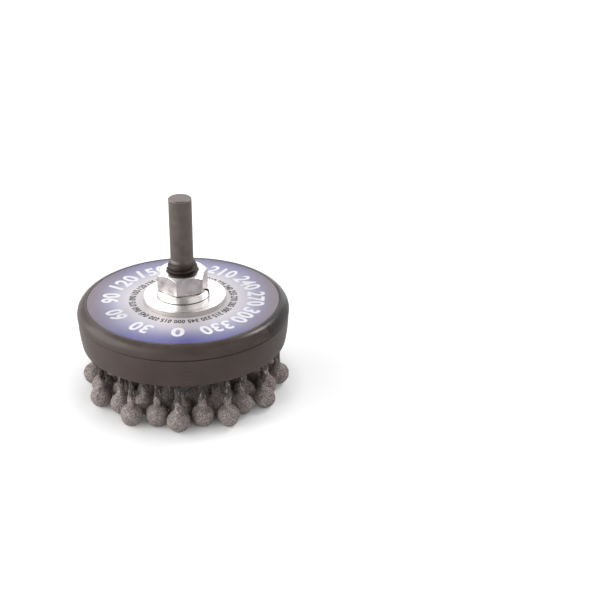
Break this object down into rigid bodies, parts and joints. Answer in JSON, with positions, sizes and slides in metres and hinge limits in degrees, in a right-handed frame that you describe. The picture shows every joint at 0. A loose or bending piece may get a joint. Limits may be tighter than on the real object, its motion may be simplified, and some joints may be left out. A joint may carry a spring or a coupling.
{
  "type": "flexible ball hone",
  "caption": "Round flat-faced hone: abrasive balls on flexible filaments set in a disc, turned by a straight shank held by a jam nut and washers.",
  "frame": {"origin": "on the tool axis, in the plane of the ball tips that the hone stands on and works with", "axes": "+Z along the tool axis from the ball tips towards the free end of the shank"},
  "size_m": [0.0888, 0.0888, 0.0861],
  "materials": {
    "arbor_steel": "turned, oil-darkened",
    "plated_nut": "bright zinc plate",
    "plated_washer": "bright zinc plate, stamped",
    "label": "printed film",
    "housing": "satin moulded",
    "resin": "cast, glossy",
    "abrasive": "gritty abrasive in resin",
    "nylon": "drawn filament"
  },
  "bodies": {
    "hub": {"arbor": "arbor_steel", "jam_nut": "plated_nut", "split_lock_washer": "plated_nut", "flat_washer": "plated_washer", "label_disc": "label", "backing_cover": "housing", "brush_block": "housing", "resin_bed": "resin", "lower_washer": "plated_washer", "lower_jam_nut": "plated_nut", "filament_ring_1": "nylon", "filament_ring_2": "nylon", "filament_ring_3": "nylon", "filament_ring_4": "nylon"},
    "ring_1": {"ball_ring_1": "abrasive"},
    "ring_2": {"ball_ring_2": "abrasive"},
    "ring_3": {"ball_ring_3": "abrasive"},
    "ring_4": {"ball_ring_4": "abrasive"}
  },
  "joints": [
    {"name": "ring_4_drag", "type": "hinge", "parent": "hub", "child": "ring_4", "pos_m": [0, 0, 0.0045], "axis": [0, 0, 1], "range_deg": [-5, 5], "stiffness_Nm_per_rad": 12, "deforming": ["filament_ring_4"]},
    {"name": "ring_3_drag", "type": "hinge", "parent": "hub", "child": "ring_3", "pos_m": [0, 0, 0.0045], "axis": [0, 0, 1], "range_deg": [-5.6, 5.6], "deforming": ["filament_ring_3"]},
    {"name": "ring_2_drag", "type": "hinge", "parent": "hub", "child": "ring_2", "pos_m": [0, 0, 0.0045], "axis": [0, 0, 1], "range_deg": [-6.8, 6.8], "deforming": ["filament_ring_2"]},
    {"name": "ring_1_drag", "type": "hinge", "parent": "hub", "child": "ring_1", "pos_m": [0, 0, 0.0045], "axis": [0, 0, 1], "range_deg": [-9.5, 9.5], "deforming": ["filament_ring_1"]}
  ],
  "couplings": [
    {"joint": "ring_3_drag", "follows": "ring_4_drag", "ratio": 1.1082},
    {"joint": "ring_2_drag", "follows": "ring_4_drag", "ratio": 1.3453},
    {"joint": "ring_1_drag", "follows": "ring_4_drag", "ratio": 1.8742}
  ]
}
